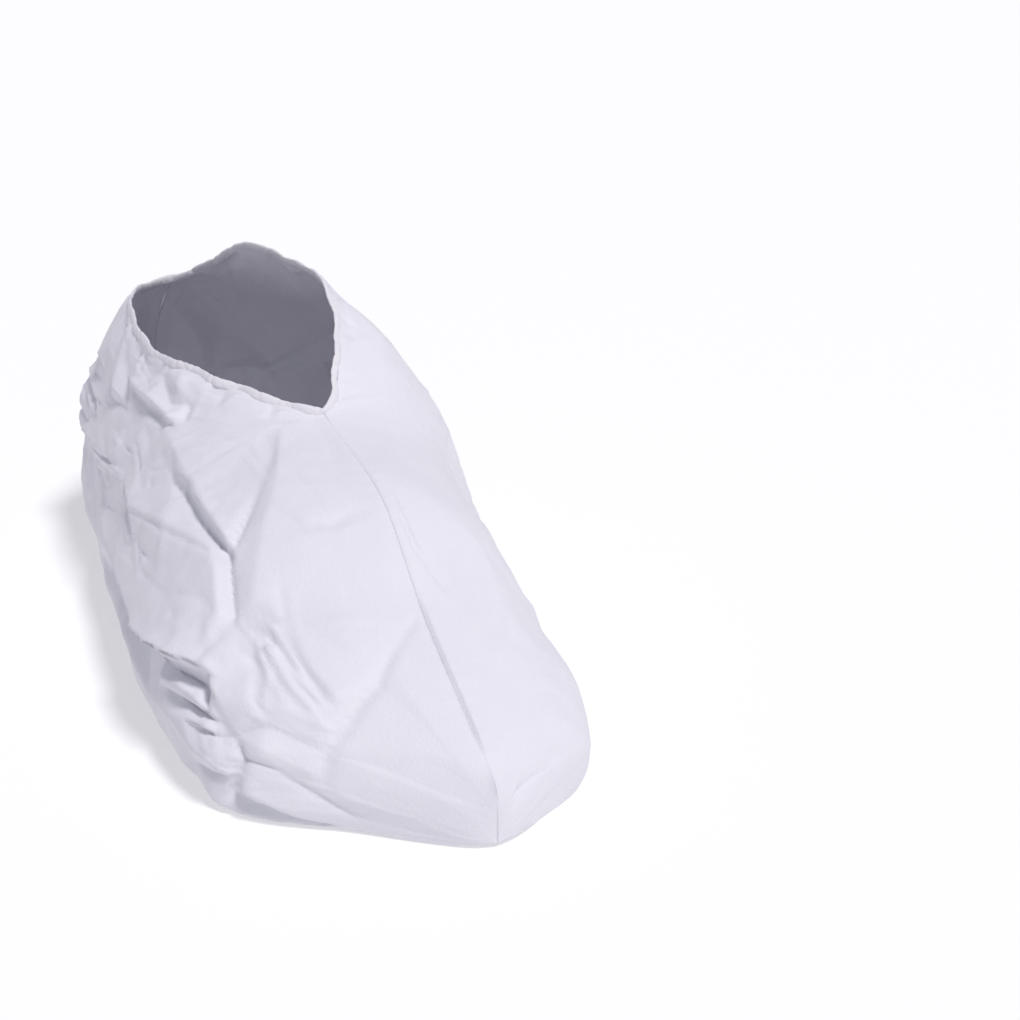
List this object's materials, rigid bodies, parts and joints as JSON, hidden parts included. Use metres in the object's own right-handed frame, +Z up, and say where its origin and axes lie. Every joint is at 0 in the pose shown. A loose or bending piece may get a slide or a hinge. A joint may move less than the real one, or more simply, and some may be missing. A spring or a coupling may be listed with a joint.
{
  "type": "shoe cover",
  "caption": "White disposable protective shoe cover: a crumpled cloth bag in two sewn halves with a gathered elastic hem round the ankle mouth.",
  "frame": {"origin": "on the floor under the middle of the cover's box", "axes": "+Z up, the toe towards -Y, +X to the viewer's right"},
  "size_m": [0.139, 0.32, 0.1202],
  "materials": {
    "cloth": "satin spunbonded sheet, crumpled",
    "hem": "the same sheet rolled over elastic"
  },
  "bodies": {
    "root": {"left_panel": "cloth", "right_panel": "cloth", "elastic_hem": "hem"}
  },
  "joints": []
}
